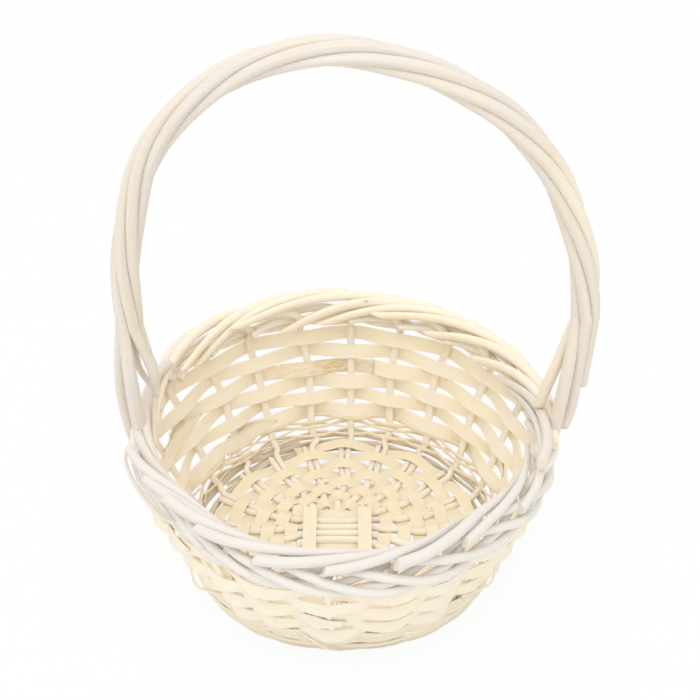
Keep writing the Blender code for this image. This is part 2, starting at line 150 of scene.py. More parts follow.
def at_front(degrees):
    """1 for a place round the front of the basket, 0 for one round the back."""
    return float(ease((degrees - 150) / 60) * (1 - ease((degrees - 345) / 30)))


# %% Smooth lines
def in_and_out(at, way, power):
    """The wave of a weaver that passes a stake at each whole number of at: from 1 on one
    side to -1 on the other. way is 1 or -1, and a low power keeps it longer at each side."""
    side = way * np.cos(math.pi * at)
    return np.sign(side) * np.abs(side) ** power


def length_along(path):
    """How far along a path each of its points lies."""
    return np.concatenate([[0], np.cumsum(np.linalg.norm(np.diff(path, axis=0), axis=1))])


def unit(vectors):
    """Rows of vectors, each made one long."""
    return vectors / np.linalg.norm(vectors, axis=1)[:, None]


def curve_through(knots, count):
    """A smooth line of count evenly spaced rows through rows of knots (Catmull-Rom)."""
    knots = np.asarray(knots, dtype=float)
    fine = []
    for i in range(len(knots) - 1):
        a, b, c, d = knots[max(i - 1, 0)], knots[i], knots[i + 1], knots[min(i + 2, len(knots) - 1)]
        for u in np.linspace(0, 1, 12, endpoint=False):
            fine.append(0.5 * (2 * b + (c - a) * u + (2 * a - 5 * b + 4 * c - d) * u ** 2
                               + (3 * b - a - 3 * c + d) * u ** 3))
    fine.append(knots[-1])
    fine = np.array(fine)
    length = length_along(fine)
    at = np.linspace(0, length[-1], count)
    return np.stack([np.interp(at, length, fine[:, k]) for k in range(fine.shape[1])], -1)


print("a stake every", round(math.degrees(PITCH), 2), "degrees")

# %% [markdown]
# A rod could be a bevelled curve, but then its skin is a perfect tube. Here a grid is
# added and rolled round the rod's middle line, as bark would be. The rolled grid can be
# tapered, flattened or given two lobes, and it keeps its own UV map: metres along the rod
# and metres round it, which the grain follows. The seam is merged and the two ends are
# filled, so that each rod is closed.

# %% Helpers that lay a grid
def only(obj):
    """Select one object and nothing else."""
    bpy.ops.object.select_all(action="DESELECT")
    obj.select_set(True)
    bpy.context.view_layer.objects.active = obj


def add_grid(name, along, across):
    """A grid with along x across corners, corner number = row * along + place in row."""
    bpy.ops.object.select_all(action="DESELECT")
    bpy.ops.mesh.primitive_grid_add(x_subdivisions=along - 1, y_subdivisions=across - 1, size=1)
    obj = bpy.context.object
    obj.name = obj.data.name = name
    return obj


def set_skin(obj, points, along, across, lengths, widths, seed, tone, ends):
    """Puts the corners in place and writes UV in metres, tone and cut ends."""
    mesh = obj.data
    mesh.vertices.foreach_set("co", np.ascontiguousarray(points, dtype=np.float32).ravel())
    draw = random.Random(seed)
    shift = (draw.uniform(0, 9), draw.uniform(0, 9))
    corner = np.empty(len(mesh.loops), dtype=np.int32)
    mesh.loops.foreach_get("vertex_index", corner)
    place, row = corner % along, corner // along
    uv = np.stack([shift[0] + lengths[place], shift[1] + widths[row]], -1)
    mesh.uv_layers[0].data.foreach_set("uv", uv.astype(np.float32).ravel())
    tones = np.broadcast_to(tone, (along,))
    for label, values in (("tone", np.tile(tones, across)), ("cut", np.tile(ends, across))):
        mesh.attributes.new(label, "FLOAT", "POINT").data.foreach_set("value", values.astype(np.float32))
    mesh.update()


# %% A helper that makes a rod
def frames_along(path, first_side):
    """Along, side and up vectors that follow a path without extra twist."""
    along = unit(np.gradient(path, axis=0))
    side = np.array(first_side, dtype=float)
    sides = []
    for direction in along:
        side = side - direction * side.dot(direction)
        side /= np.linalg.norm(side)
        sides.append(side)
    sides = np.array(sides)
    return along, sides, np.cross(along, sides)


def close_skin(open_ends, crease):
    """Merges the seam of the new rod, fills its open ends and turns its faces outwards."""
    bpy.ops.object.mode_set(mode="EDIT")
    bpy.ops.mesh.select_all(action="SELECT")
    bpy.ops.mesh.remove_doubles(threshold=1e-6)
    if open_ends:
        bpy.ops.mesh.fill_holes(sides=0)
    bpy.ops.mesh.select_all(action="SELECT")
    bpy.ops.mesh.normals_make_consistent(inside=False)
    bpy.ops.object.mode_set(mode="OBJECT")
    bpy.ops.object.shade_smooth_by_angle(angle=math.radians(crease))


def each(value, count):
    """One value, or one for each point, as an array with the two extra end rings."""
    value = np.broadcast_to(np.asarray(value, dtype=float), (count,))
    return np.concatenate([value[:1], value, value[-1:]])


def rod(name, path, thick, seed, around=12, lobe=0.0, flat=1.0, side=(0, 0, 1), tone=None, rough=0.03,
        slants=(0.0, 0.0)):
    """A rod of willow along path. thick is its diameter; lobe from 0 to 0.5 gives it two
    lobes, side by side along the side vector; flat below 1 thins it at right angles to
    that; each is one value or one for each point. slants cut its two ends at an angle."""
    count = len(path)
    lobe, flat = each(lobe, count), each(flat, count)
    tone = random.Random(seed).uniform(-1, 1) if tone is None else tone
    tone = each(tone, count)
    thick = np.broadcast_to(np.asarray(thick, dtype=float), (count,)).copy()
    thick *= 1 + rough * wobble(seed + 1, count, 5)
    # the cut end is rounded off over a short step
    nose = 0.18 * thick[[0, -1]]
    along, sides, ups = frames_along(path, side)
    path = np.vstack([path[0], path[0] + along[0] * nose[0], path[1:-1],
                      path[-1] - along[-1] * nose[1], path[-1]])
    sides = np.vstack([sides[0], sides, sides[-1]])
    ups = np.vstack([ups[0], ups, ups[-1]])
    radii = np.concatenate([[thick[0] * 0.40], thick / 2, [thick[-1] * 0.40]])
    count = len(path)
    phase = np.linspace(0, 2 * math.pi, around + 1)
    grid = np.empty((around + 1, count, 3))
    lumps = [wobble(seed + 7 + k, count, 4) for k in range(3)]
    for j, angle in enumerate(phase):
        half_gap = np.maximum((1 - lobe) ** 2 - (lobe * math.sin(angle)) ** 2, 0.01)
        reach = lobe * abs(math.cos(angle)) + np.sqrt(half_gap)
        unevenness = sum(lumps[k] * math.cos((k + 2) * angle + k) for k in range(3))
        lump = radii * reach * (1 + rough * unevenness / 1.5)
        grid[j] = (path + (math.cos(angle) * lump)[:, None] * sides
                   + (math.sin(angle) * flat * lump)[:, None] * ups)
        for k, share in enumerate((1, 1, 0.65, 0.3)):
            grid[j, k] += along[0] * slants[0] * share * radii[1] * math.cos(angle)
            grid[j, -1 - k] += along[-1] * slants[1] * share * radii[-2] * math.cos(angle)
    lengths = length_along(path)
    girth = phase * float(thick.mean()) / 2
    ends = np.zeros(count)
    ends[[0, -1]] = 1.0
    obj = add_grid(name, count, around + 1)
    set_skin(obj, grid.reshape(-1, 3), count, around + 1, lengths, girth, seed, tone, ends)
    close_skin(True, 50)
    return obj


# %% A helper that makes a closed rod
def closed_rod(name, path, thick, seed):
    """A rod whose last point is its first: the two ends are merged as the seam is."""
    count, around = len(path), 10
    radii = thick / 2 * (1 + 0.03 * np.sin(np.linspace(0, 2 * math.pi, count) * 5 + seed))
    along = np.gradient(path, axis=0)
    along[0] = along[-1] = path[1] - path[-2]
    along = unit(along)
    outward = path - [AXIS_X, AXIS_Y, 0]
    outward[:, 2] = 0
    outward -= along * np.sum(outward * along, axis=1)[:, None]
    outward = unit(outward)
    upward = np.cross(along, outward)
    phase = np.linspace(0, 2 * math.pi, around + 1)
    grid = np.stack([path + (outward * math.cos(a) + upward * math.sin(a)) * radii[:, None] for a in phase])
    grid[:, -1] = grid[:, 0]
    lengths = length_along(path)
    obj = add_grid(name, count, around + 1)
    set_skin(obj, grid.reshape(-1, 3), count, around + 1, lengths, phase * float(radii.mean()), seed,
             random.Random(seed).uniform(-1, 1), np.zeros(count))
    close_skin(False, 60)
    return obj

# %% [markdown]
# A splint is a thin flat strip that was shaved from a willow or bamboo cane, so its faces
# are flat and its edges sharp but worn. It could be a curve with a flat profile, but a
# flat profile turns over in tight bends. A grid laid along the path keeps its face to the
# wall: its corners are placed in code, Solidify gives the thickness and Bevel takes the
# sharpness off the edges, both applied.

# %% A helper that makes a splint
# how thick a splint is, and how far its middle bows out
SPLINT_THICK, SPLINT_BOW = 0.0009, 0.0002


def splint(name, path, across, width, seed, tone=None, stain_and_shade=None):
    """A splint whose middle line is path and whose width lies along the across vectors."""
    count, rows = len(path), 7
    width = np.broadcast_to(np.asarray(width, dtype=float), (count,))
    across = unit(across)
    along = unit(np.gradient(path, axis=0))
    through = np.cross(along, across)
    grid = np.empty((rows, count, 3))
    edge_low, edge_high = wobble(seed + 3, count, 6), wobble(seed + 4, count, 6)
    for j in range(rows):
        share = j / (rows - 1) - 0.5
        edge = np.where(share < 0, edge_low, edge_high) * 0.00022 * abs(share) * 2
        bow = SPLINT_BOW * (1 - (2 * share) ** 2)
        grid[j] = path + across * (share * width + edge)[:, None] + through * bow
    lengths = length_along(path)
    ends = np.zeros(count)
    ends[[0, -1]] = 1.0
    tone = random.Random(seed).uniform(-1, 1) if tone is None else tone
    obj = add_grid(name, count, rows)
    set_skin(obj, grid.reshape(-1, 3), count, rows, lengths, np.linspace(0, float(width.max()), rows), seed,
             tone, ends)
    # this attribute carries a real stain and, on two strips, painted shade along the upper edge
    stain_and_shade = np.broadcast_to(np.zeros(count) if stain_and_shade is None else stain_and_shade, (rows, count))
    stain_and_shade_data = obj.data.attributes.new("stain_and_shade", "FLOAT", "POINT").data
    stain_and_shade_data.foreach_set("value", stain_and_shade.ravel().astype(np.float32))
    only(obj)
    solid = obj.modifiers.new("thickness", "SOLIDIFY")
    solid.thickness, solid.offset = SPLINT_THICK, 0.0
    edge = obj.modifiers.new("worn edge", "BEVEL")
    edge.width, edge.segments, edge.limit_method, edge.angle_limit = 0.0002, 1, "ANGLE", math.radians(50)
    bpy.ops.object.modifier_apply(modifier="thickness")
    bpy.ops.object.modifier_apply(modifier="worn edge")
    bpy.ops.object.shade_smooth_by_angle(angle=math.radians(40))
    return obj


print("splints are", SPLINT_THICK, "m thick")

# %% [markdown]
# Every piece then belongs somewhere: it rides on the one body, takes its finish, and hides
# the CAD node it stands for.

# %% A helper that fits a piece into the frame
ROOT = "root"
made = []


def fit(piece, material, slot, *nodes):
    """Gives a piece its finish and body, and hides the CAD nodes that it replaces. slot is not used."""
    piece.data.materials.clear()
    piece.data.materials.append(material)
    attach(piece, ROOT)
    if nodes:
        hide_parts(*nodes)
    made.append(piece.name)


print("every piece rides on the body", ROOT)

# %% [markdown]
# ## Camera
# Fitted to the photograph, the view looks down by 38 degrees, from about a metre away,
# with a long lens. The camera is put there before anything is modelled, so that each
# render can be laid over the photograph.

# %% Camera
ELEVATION = math.radians(37.7)
DISTANCE = 1.0
TARGET = Vector((0.0054 + AXIS_X, 0.0, 0.1555))
camera_data = bpy.data.cameras.new("photo camera")
camera_data.lens, camera_data.sensor_width = 90.0, 36.0
camera_data.clip_start, camera_data.clip_end = 0.05, 20.0
camera = bpy.data.objects.new("photo camera", camera_data)
bpy.context.collection.objects.link(camera)
camera.location = TARGET + Vector((0, -math.cos(ELEVATION), math.sin(ELEVATION))) * DISTANCE
camera.rotation_euler = (math.pi / 2 - ELEVATION, 0, 0)
bpy.context.scene.camera = camera
print("camera at", [round(v, 3) for v in camera.location])

# %% [markdown]
# ## Finishes
# Peeled willow is almost white and silky, with long fine grain, a few small knots and a
# darker pith at each cut. Splint is creamier, with long straight fibres and a dull face.
# One recipe serves both: noise that is stretched along the UV map gives the fibres, a
# slower noise gives the patches, each rod's tone shifts it, and the same fibres give
# the bump and the roughness. On the border and the handle the tone is partly painted
# light, and a splint's stain is in places painted shade. Only the colours and strengths differ.

# %% A helper that adds nodes
class Recipe:
    """Adds nodes and joins them, so that a recipe reads from top to bottom."""

    def __init__(self, name):
        self.material = bpy.data.materials.new(name)
        self.material.use_nodes = True
        self.nodes, self.links = self.material.node_tree.nodes, self.material.node_tree.links
        self.shader = self.nodes["Principled BSDF"]

    def add(self, kind, values=(), **settings):
        node = self.nodes.new(kind)
        for key, value in settings.items():
            setattr(node, key, value)
        for key, value in dict(values).items():
            self.plug(node.inputs[key], value)
        return node

    def plug(self, socket, value):
        if isinstance(value, bpy.types.NodeSocket):
            self.links.new(value, socket)
        else:
            socket.default_value = value

    def noise(self, vector, detail, rough, stretch):
        vector = self.add("ShaderNodeMapping", {"Vector": vector, "Scale": stretch}).outputs[0]
        return self.add("ShaderNodeTexNoise", {"Vector": vector, "Scale": 1.0, "Detail": detail,
                                               "Roughness": rough}).outputs[0]

    def math(self, operation, a, b, clamp=False):
        return self.add("ShaderNodeMath", {0: a, 1: b}, operation=operation, use_clamp=clamp).outputs[0]

    def ramp(self, value, low, high):
        return self.add("ShaderNodeMapRange", {0: value, 1: low, 2: high}, clamp=True).outputs[0]

    def blend(self, factor, a, b):
        node = self.add("ShaderNodeMix", data_type="RGBA", blend_type="MIX")
        for socket, value in ((node.inputs[0], factor), (node.inputs[6], a), (node.inputs[7], b)):
            self.plug(socket, value)
        return node.outputs[2]


# %% A recipe for wood
def shade(colour):
    """A colour written as screen values from 0 to 255, turned into linear values."""
    return tuple((v / 255 / 12.92 if v / 255 <= 0.04045 else ((v / 255 + 0.055) / 1.055) ** 2.4)
                 for v in colour) + (1.0,)


# the colours of a knot, of the wood round it and of a cut end
KNOT, ROUND_A_KNOT, CUT_END = (158, 122, 88), (226, 203, 172), (205, 172, 130)


def wood(name, light, dark, patch, tint, roughness, fibre, knots=0.0, stain_and_shade_colour=None, pale=None,
         warm=None, mark=0.4, glow=0.25, depth=(1.0, 0.9, 0.75)):
    """Long-grained wood. light and dark are the fibres, patch is the slow change of
    colour, tint is what a rod of low tone is mixed with, pale is where tone is 2 and warm
    where it is -2. mark is how strongly a cut end shows, and glow and depth are the light
    that the wood lets through."""
    mix = Recipe(name)
    uv = mix.add("ShaderNodeUVMap").outputs[0]
    tone = mix.add("ShaderNodeAttribute", attribute_name="tone").outputs["Fac"]
    cut = mix.add("ShaderNodeAttribute", attribute_name="cut").outputs["Fac"]
    fine = mix.noise(uv, 2.0, 0.6, (28.0, 2600.0, 1.0))
    broad = mix.noise(uv, 2.0, 0.5, (9.0, 620.0, 1.0))
    slow = mix.noise(uv, 3.0, 0.55, (30.0, 90.0, 1.0))
    streak = mix.math("ADD", mix.math("MULTIPLY", fine, 0.45), mix.math("MULTIPLY", broad, 0.55))
    colour = mix.blend(mix.ramp(streak, 0.36, 0.66), shade(dark), shade(light))
    colour = mix.blend(mix.math("MULTIPLY", mix.ramp(slow, 0.50, 0.78), 0.75), colour, shade(patch))
    low = mix.math("MULTIPLY", mix.ramp(tone, 0.2, -1.0), 0.55)
    colour = mix.blend(low, colour, shade(tint))
    # pale: the whiter willow of the border, which at the front is also painted shade where the lamp falls
    # most
    if pale:
        colour = mix.blend(mix.math("MULTIPLY", mix.ramp(tone, 1.0, 2.0), 0.8), colour, shade(pale))
    # warm: a lighter, warmer colour; on the back of the border and the handle's right leg it is painted light
    # where the lamp falls least
    if warm:
        colour = mix.blend(mix.math("MULTIPLY", mix.ramp(tone, -1.0, -2.0), 0.85), colour, shade(warm))
    # the stain attribute and colour give a real stain, and painted shade along the upper edge of two splints
    if stain_and_shade_colour:
        stain_and_shade = mix.add("ShaderNodeAttribute", attribute_name="stain_and_shade").outputs["Fac"]
        mottle = mix.noise(uv, 4.0, 0.7, (160.0, 420.0, 1.0))
        stain_and_shade_amount = mix.math("MULTIPLY", stain_and_shade, mix.ramp(mottle, 0.30, 0.62), clamp=True)
        colour = mix.blend(stain_and_shade_amount, colour, shade(stain_and_shade_colour))
    if knots:
        cells = mix.add("ShaderNodeTexVoronoi", {
            "Vector": mix.add("ShaderNodeMapping", {"Vector": uv, "Scale": (34.0, 70.0, 1.0)}).outputs[0],
            "Scale": 1.0}, feature="F1")
        rare = mix.math("GREATER_THAN", cells.outputs["Color"], 0.72)
        spot = mix.math("MULTIPLY", mix.ramp(cells.outputs["Distance"], 0.075, 0.02), rare)
        halo = mix.math("MULTIPLY", mix.ramp(cells.outputs["Distance"], 0.22, 0.05), rare)
        colour = mix.blend(mix.math("MULTIPLY", halo, 0.35 * knots), colour, shade(ROUND_A_KNOT))
        colour = mix.blend(mix.math("MULTIPLY", spot, 0.75 * knots), colour, shade(KNOT))
    colour = mix.blend(mix.math("MULTIPLY", cut, mark), colour, shade(CUT_END))
    height = mix.math("ADD", mix.math("MULTIPLY", fine, 0.5), broad)
    bump = mix.add("ShaderNodeBump", {"Height": height, "Strength": 0.35 * fibre, "Distance": 0.0004})
    mix.plug(mix.shader.inputs["Base Color"], colour)
    mix.plug(mix.shader.inputs["Normal"], bump.outputs[0])
    mix.plug(mix.shader.inputs["Roughness"], mix.add("ShaderNodeMapRange", {
        0: streak, 1: 0.3, 2: 0.7, 3: roughness + 0.08, 4: roughness - 0.08}).outputs[0])
    mix.shader.inputs["Specular IOR Level"].default_value = 0.35
    # thin pale wood lets some light through
    mix.shader.inputs["Subsurface Weight"].default_value = glow
    mix.shader.inputs["Subsurface Scale"].default_value = 0.002
    mix.shader.inputs["Subsurface Radius"].default_value = depth
    return mix.material


# %% The four finishes
# pale, on both willows, and warm, on the white one, are partly painted light: greyer where the lamp falls
# most, lighter and warmer where it falls least
WHITE_ROD = wood("peeled white willow", (235, 229, 221), (227, 218, 206), (232, 220, 202), (238, 226, 204),
                 roughness=0.50, fibre=0.5, knots=0.7, pale=(232, 227, 221), warm=(253, 241, 220),
                 mark=0.15, glow=0.4, depth=(1.0, 0.75, 0.5))
CREAM_ROD = wood("peeled cream willow", (254, 247, 236), (247, 236, 219), (250, 238, 217), (250, 236, 211),
                 roughness=0.56, fibre=0.8, knots=0.3, pale=(232, 227, 221), glow=0.3,
                 depth=(1.0, 0.8, 0.55))
# the splint's stain colour is also painted shade along the upper edge of two strips
SPLINT = wood("cream splint", (255, 246, 229), (253, 238, 215), (254, 241, 218), (254, 239, 212),
              roughness=0.60, fibre=0.8, stain_and_shade_colour=(212, 190, 152), warm=(255, 238, 203), glow=0.35)
TAN_ROD = wood("tan waling willow", (255, 246, 228), (247, 231, 203), (252, 238, 212), (251, 235, 206),
               roughness=0.62, fibre=1.3, knots=0.5, glow=0.2)
print("finishes:", WHITE_ROD.name, CREAM_ROD.name, SPLINT.name, TAN_ROD.name, sep="\n  ")

# %% [markdown]
# ## Base cross
# Four thick sticks lie over seven thin ones. Each bundle lies side by side in the middle,
# so its sticks nearly touch, and fans out to even spokes at the edge. Straight primitives
# would miss the fan and the step from one layer to the other, so each stick follows a
# line: side by side to 17 mm, then to the base level by 30 mm, then along its own ray.

# %% Base sticks
CROSS_LAP, CROSS_LEVEL = 0.0170, 0.0300
LONG_THICK, CROSS_THICK, STAKE_THICK = 0.0048, 0.0036, 0.0040
GAP = 0.0003
PAIR_OFFSET = (STAKE_THICK + CROSS_THICK) / 4 + GAP / 2
CROSS_STEP = (LONG_THICK + CROSS_THICK) / 4 + GAP / 2


def stick_half(start, spread, level):
    """Points from near the middle to the corner, with x along the stick."""
    points = []
    for reach in (0.0, 0.4, 0.8, 1.1, 1.4, CROSS_LEVEL / CROSS_LAP):
        along = reach * CROSS_LAP * math.cos(spread)
        side = (abs(start) ** 4 + (along * math.tan(abs(spread))) ** 4) ** 0.25
        lift = level * (1 - float(ease((math.hypot(along, side) - CROSS_LAP) / (CROSS_LEVEL - CROSS_LAP))))
        points.append((along, math.copysign(side, start) if start else 0.0, BASE_LEVEL + lift))
    for radius, offset in ((0.042, 0.0), (0.054, 0.0), (0.066, PAIR_OFFSET), (0.076, PAIR_OFFSET),
                           (BASE_RADIUS - 0.003, PAIR_OFFSET)):
        points.append((radius * math.cos(spread) - offset * math.sin(spread),
                       radius * math.sin(spread) + offset * math.cos(spread), BASE_LEVEL))
    return points


# the cross was laid a little off the middle, and the edge of the base lifts a little
CROSS_OFF = np.array([-0.0043, 0.0060])


def settle(points):
    """Moves points of the base off the middle near the cross and up near the edge."""
    points = np.array(points, dtype=float)
    reach = np.linalg.norm(points[:, :2] - [AXIS_X, AXIS_Y], axis=1)
    points[:, :2] += CROSS_OFF * (1 - ease((reach - 0.024) / 0.030))[:, None]
    points[:, 2] += 0.0040 * ease((reach - 0.058) / 0.032)
    return points


def stick_path(start, spread, level, turn):
    near = stick_half(start, spread, level)
    far = [(-x, -y, z) for x, y, z in stick_half(-start, -spread, level)[1:]]
    line = np.array(far[::-1] + near)
    x, y = line[:, 0].copy(), line[:, 1].copy()
    line[:, 0] = AXIS_X + DRIFT + x * math.cos(turn) - y * math.sin(turn)
    line[:, 1] = AXIS_Y + x * math.sin(turn) + y * math.cos(turn)
    return settle(curve_through(line, 72))


number = 0
for count, gap, thick, level, turn in ((4, LONG_THICK + 2 * GAP, LONG_THICK, CROSS_STEP, 0.0),
                                       (7, CROSS_THICK + GAP, CROSS_THICK, -CROSS_STEP, math.pi / 2)):
    for place in range(count):
        number += 1
        row = place - (count - 1) / 2
        path = stick_path(row * gap, row * PITCH, level, turn)
        distance = np.linalg.norm(path[:, :2] - [AXIS_X, AXIS_Y], axis=1)
        taper = thick
        if thick > CROSS_THICK:
            taper = thick + (CROSS_THICK - thick) * ease((distance - 0.020) / 0.012)
        # a spoke is thickest where it leaves the cross
        taper = taper * (1 + 0.22 * ease((distance - 0.024) / 0.01) - 0.18 * ease((distance - 0.05) / 0.02))
        stick = rod("base_stick_rod_%02d" % number, path, taper, 100 + 20 * number, around=12, rough=0.035)
        fit(stick, CREAM_ROD, "peeled_cream_rod", "base_stick_%02d" % number)
print(number, "base sticks")

# %% [markdown]
# A splint ties the cross together in a square: two lengths over the long sticks and two
# over the cross sticks. Each length turns down between the sticks at its ends. One closed
# loop would have to stand up at the corners, so the four lengths are made as four strips
# with their ends turned down, and joined into one piece.

# %% Tie strip
# the middle distance and the width of the lengths towards +x, +y, -x and -y
TIE_SIZES = ((0.0172, 0.0086), (0.0166, 0.0080), (0.0172, 0.0086), (0.0130, 0.0096))


def tie_length(side, high, half):
    """One of the four lengths. side is the direction in which it lies from the middle."""
    reach = 0.0205
    along = np.array([-reach, -reach, -reach + 0.001, -reach + 0.003, -0.5 * reach, 0, 0.5 * reach,
                      reach - 0.003, reach - 0.001, reach, reach])
    drop = np.array([-0.0045, -0.0025, -0.0010, -0.0001, 0.0001, 0.00015,
                     0.0001, -0.0001, -0.0010, -0.0025, -0.0045])
    line = np.zeros((len(along), 3))
    line[:, 0] = AXIS_X + math.cos(side) * half - math.sin(side) * along
    line[:, 1] = AXIS_Y + math.sin(side) * half + math.cos(side) * along
    line[:, 2] = high + drop
    path = curve_through(line, 60) + [DRIFT + CROSS_OFF[0], CROSS_OFF[1], 0.0]
    across = np.tile([math.cos(side), math.sin(side), 0.0], (60, 1))
    return path, across


tie_over_long = BASE_LEVEL + CROSS_STEP + LONG_THICK / 2 + GAP + SPLINT_THICK / 2
tie_over_cross = BASE_LEVEL - CROSS_STEP + CROSS_THICK / 2 + GAP + SPLINT_THICK / 2
lengths = []
for k, high in enumerate((tie_over_long, tie_over_cross, tie_over_long, tie_over_cross)):
    half, width = TIE_SIZES[k]
    path, across = tie_length(k * math.pi / 2, high, half)
    lengths.append(splint("tie_length_%d" % k, path, across, width, 900 + k, tone=-1.2))
only(lengths[0])
for length in lengths[1:]:
    length.select_set(True)
bpy.ops.object.join()
tie = bpy.context.object
tie.name = tie.data.name = "tie_strip_splint"
fit(tie, SPLINT, "cream_splint", "tie_strip")
print("tie strip of", len(TIE_SIZES), "lengths")

# %% [markdown]
# Two splints chase each other round the base, each over one spoke and under the next.
# A spring shape would be flat; this line rises and falls by a cosine with every spoke, and
# its radius grows a little with each step.

# %% Base weaving
# where each weaver starts and stops, in spokes from where its radius is ROUND_START
FIRST_SPOKE, LAST_SPOKE = -8.35, 72.35
ROUND_SPACING, ROUND_START = 0.0083, 0.0312
for number in range(2):
    at = np.linspace(FIRST_SPOKE, LAST_SPOKE, 891)
    index = at + number * (STAKE_COUNT // 2)
    radius = ROUND_START + 2 * ROUND_SPACING * at / STAKE_COUNT + 0.0004 * wobble(300 + number, len(at), 9)
    # the first round goes round the square of the cross
    radius *= 1 - 0.07 * np.cos(4 * spoke_angle(index)) * (1 - ease((radius - 0.026) / 0.016))
    wave = in_and_out(index, 1 if number % 2 else -1, 1.3)
    path = settle(polar(radius, spoke_angle(index), BASE_LEVEL + 0.0003 + wave * 0.0026))
    across = towards(spoke_angle(index))
    width = 0.0083 + 0.0002 * wobble(310 + number, len(at), 8)
    weaver = splint("base_weaver_splint_%d" % (number + 1), path, across, width, 320 + number, tone=-1.6)
    fit(weaver, SPLINT, "cream_splint", "base_weaver_%d" % (number + 1))
print("2 base weavers of", round((LAST_SPOKE - FIRST_SPOKE) / STAKE_COUNT, 2), "rounds")

# %% [markdown]
# ## Foot
# The basket stands on a rope of three thin rods that runs round under the stakes. Three
# rods that turn about each other read as a rope where one ring would read as a pipe.

# %% Foot ring
FOOT_LEVEL, FOOT_ROPE_RADIUS, FOOT_TURNS, STRAND_THICK = 0.0022, 0.0011, 7, 0.0023
around_foot = np.linspace(0, 2 * math.pi, 441)
# the ring of the real basket is pushed in at the front and out at the back
turned = np.degrees(around_foot)
foot_radius = BASE_RADIUS - 0.0004 - 0.0044 * np.exp(-((turned - 271) / 32) ** 2) \
    + 0.0030 * np.exp(-((turned - 90) / 42) ** 2)
for strand in range(3):
    twist = around_foot * FOOT_TURNS + strand * 2 * math.pi / 3
    z = FOOT_LEVEL + FOOT_ROPE_RADIUS * np.sin(twist)
    path = polar(foot_radius + FOOT_ROPE_RADIUS * np.cos(twist), around_foot, z)
    foot = closed_rod("foot_strand_%d" % (strand + 1), path, STRAND_THICK, 40 + strand)
    fit(foot, TAN_ROD, "tan_rod", "foot_rod")
print("3 foot strands")

# %% [markdown]
# ## Stakes
# Each stake starts beside its spoke, turns up at the edge, climbs the wall and then lies
# down in the border: up and in, over the top, out and down behind the next rods, and back
# in under them. In the photograph the stakes look doubled, with a line down the middle, so
# their section has two lobes.

# %% Stakes
STAKE_LANE = STAKE_THICK + GAP
# a stake's run in the border: pitches round, and lanes out and up from the top of the wall
STAKE_RUN = ((0.00, -0.58, 1.20), (0.00, -0.92, 2.40), (0.15, -0.78, 3.75), (0.50, 0.05, 3.85),
             (0.75, 0.53, 3.43), (1.00, 0.90, 2.92), (1.50, 1.37, 1.72), (2.00, 0.92, 0.66),
             (2.50, 0.34, 1.02), (3.00, 0.31, 1.92), (3.50, -0.76, 2.52), (4.00, -2.08, 2.64))
# in places the runs lie closer to the wall and higher: a factor on out, and lanes up
RUN_CHANGES = {8: (0.8, 0.2), 9: (0.5, 0.5), 10: (0.2, 0.8), 11: (0.1, 0.9), 12: (0.2, 0.9), 13: (0.5, 0.6),
               14: (0.8, 0.3), 18: (0.8, 0.2), 19: (0.8, 0.2)}


def stake_line(index):
    angle, spoke, even = float(stake_angle(index)), spoke_angle(index), even_angle(index)
    sideways = np.array([-math.sin(spoke), math.cos(spoke), 0.0])
    knots = [polar(0.053, spoke, BASE_LEVEL) - sideways * (PAIR_OFFSET + 0.0006),
             polar(0.070, spoke, BASE_LEVEL + 0.0012) - sideways * PAIR_OFFSET,
             polar(BASE_RADIUS - 0.004, spoke, BASE_LEVEL + 0.0036)
             - sideways * (PAIR_OFFSET + STAKE_SIDE_STEP) / 2,
             polar(BASE_RADIUS + 0.0006, angle, BASE_LEVEL + 0.0060)]
    for share in (0.12, 0.33, 0.67, 1.0):
        z = CORNER_TOP_Z + (WEAVE_TOP_Z - CORNER_TOP_Z) * share
        knots.append(polar(wall_radius(z), even + (angle - even) * min(1, 2 * share, 3.3 - 3 * share), z))
    tight, lift = RUN_CHANGES.get(index, (1.0, 0.0))
    for pitches, outwards, up in STAKE_RUN:
        if 0.6 < pitches < 2.8:
            outwards, up = outwards * tight, up + lift
        turned = even + (angle - even) * 0.3 + pitches * PITCH
        knots.append(polar(WALL_TOP_RADIUS + outwards * STAKE_LANE, turned, WEAVE_TOP_Z + up * STAKE_LANE))
    return curve_through(knots, 130)


for index in range(STAKE_COUNT):
    path = stake_line(index)
    share = np.linspace(0, 1, len(path))
    top = int(np.argmax(path[:, 2] > WEAVE_TOP_Z - 0.002))
    over = ease((np.arange(len(path)) - top) / 9)
    low = 1 - ease((share - 0.13) / 0.05)
    # the middle of a stake's run lies further round than its foot
    front = at_front(math.degrees(even_angle(index)) + 30)
    thick = 0.0049 - 0.0009 * low + 0.0006 * over * (0.3 + 0.7 * front) - 0.0010 * ease((share - 0.8) / 0.2)
    lead = (-math.sin(spoke_angle(index)), math.cos(spoke_angle(index)), 0)
    # in the border a stake's run turns pale towards the front: partly the whiter willow of the border, partly
    # painted shade where the lamp in front falls most
    tone = random.Random(index).uniform(-1, 0.8) * (1 - over) + (0.8 + 1.2 * front) * over
    stake = rod("stake_rod_%02d" % (index + 1), path, thick, 1000 + 30 * index, around=16,
                lobe=0.30 * (1 - over) * (1 - low), side=lead, tone=tone)
    fit(stake, CREAM_ROD, "peeled_cream_rod", "stake_%02d" % (index + 1))
print(STAKE_COUNT, "stakes")

# %% [markdown]
# ## Side
# Six rows of wide splint go round the wall, outside one stake and inside the next, each
# row the other way from the row under it. A splint isn't endless: its two ends lap over a
# stake or two, one on top of the other. So a row is an open strip that goes once round and
# a bit more, and its first part lies further in. The fourth row is pieced together from
# two strips.

